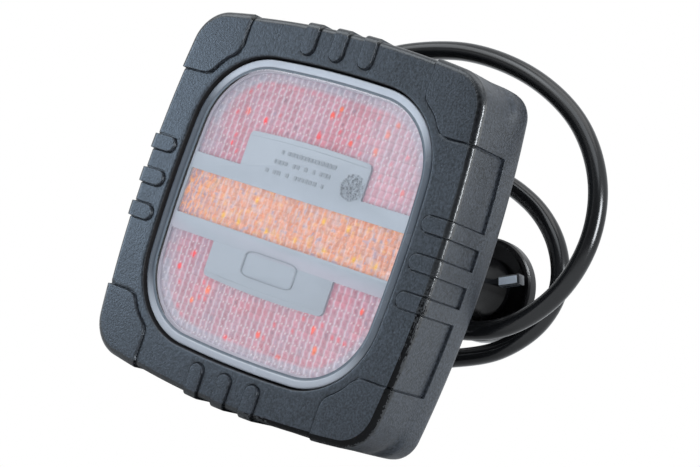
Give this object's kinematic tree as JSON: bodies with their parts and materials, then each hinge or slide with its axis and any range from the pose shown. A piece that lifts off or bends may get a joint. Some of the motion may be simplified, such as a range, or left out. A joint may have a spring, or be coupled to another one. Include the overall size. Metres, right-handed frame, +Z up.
{
  "type": "trailer tail light",
  "caption": "Square trailer tail lamp with red and amber zones in a rubber bumper frame, on turning magnet feet, with a looped cable and bayonet plug.",
  "frame": {"origin": "the centre of the right-hand foot's contact face, right seen from the front; the lamp's own centre line is 48 mm to the left of it", "axes": "+X to the right seen from the front, +Z up, the lamp's face looks along -Y and the magnets' contact faces look along +Y"},
  "size_m": [0.1768, 0.0775, 0.1593],
  "materials": {
    "board_green": "solder-masked board",
    "boot_rubber": "smooth black rubber coating",
    "cable_sheath": "smooth semi-gloss black sheath",
    "frame_rubber": "matt charcoal rubber with a fine grain, shinier along the front edges",
    "housing_black": "lightly textured black",
    "hub_plastic": "satin to gloss black",
    "led_amber": "gloss",
    "led_red": "gloss",
    "lens_clear": "clear polycarbonate",
    "magnet_grey": "sintered",
    "mask_grey": "satin grey",
    "optic_amber": "small irregular prisms",
    "optic_red": "small square prisms",
    "pin_brass": "bright",
    "plug_plastic": "moulded black",
    "seal_rubber": "matt",
    "steel_zinc": "bright zinc plating"
  },
  "bodies": {
    "lamp": {"amber_led_1": "led_amber", "amber_led_2": "led_amber", "amber_led_3": "led_amber", "amber_led_4": "led_amber", "amber_led_5": "led_amber", "amber_optic": "optic_amber", "board_screw_bottom": "steel_zinc", "board_screw_top": "steel_zinc", "breather_plug": "housing_black", "cable": "cable_sheath", "gland_body": "plug_plastic", "gland_nut": "plug_plastic", "gland_seal": "seal_rubber", "lamp_housing": "housing_black", "led_board": "board_green", "lens_seal": "seal_rubber", "light_mask": "mask_grey", "mounting_plate": "steel_zinc", "outer_lens": "lens_clear", "plate_screw_bottom_left": "steel_zinc", "plate_screw_bottom_right": "steel_zinc", "plate_screw_top_left": "steel_zinc", "plate_screw_top_right": "steel_zinc", "plug_body": "plug_plastic", "plug_insert": "housing_black", "plug_nut": "plug_plastic", "plug_pin_1": "pin_brass", "plug_pin_2": "pin_brass", "plug_pin_3": "pin_brass", "plug_pin_4": "pin_brass", "plug_pin_5": "pin_brass", "plug_seal": "seal_rubber", "red_led_lower_1": "led_red", "red_led_lower_2": "led_red", "red_led_lower_3": "led_red", "red_led_lower_4": "led_red", "red_led_upper_1": "led_red", "red_led_upper_2": "led_red", "red_led_upper_3": "led_red", "red_led_upper_4": "led_red", "red_optic_lower": "optic_red", "red_optic_upper": "optic_red", "rubber_frame": "frame_rubber"},
    "foot_left": {"foot_left_boot": "boot_rubber", "foot_left_hub": "hub_plastic", "foot_left_magnet": "magnet_grey", "foot_left_nut": "steel_zinc", "foot_left_pot": "steel_zinc", "foot_left_stud": "steel_zinc", "foot_left_washer": "steel_zinc"},
    "foot_right": {"foot_right_boot": "boot_rubber", "foot_right_hub": "hub_plastic", "foot_right_magnet": "magnet_grey", "foot_right_nut": "steel_zinc", "foot_right_pot": "steel_zinc", "foot_right_stud": "steel_zinc", "foot_right_washer": "steel_zinc"},
    "collar": {"plug_collar": "plug_plastic"}
  },
  "joints": [
    {"name": "foot_left_turn", "type": "hinge", "parent": "lamp", "child": "foot_left", "pos_m": [-0.096, -0.02, 0], "axis": [0, 1, 0], "continuous": true},
    {"name": "foot_right_turn", "type": "hinge", "parent": "lamp", "child": "foot_right", "pos_m": [0, -0.02, 0], "axis": [0, 1, 0], "continuous": true},
    {"name": "plug_collar_turn", "type": "hinge", "parent": "lamp", "child": "collar", "pos_m": [-0.089, -0.018, -0.0425], "axis": [-1, 0, 0], "range_deg": [0, 60]}
  ]
}
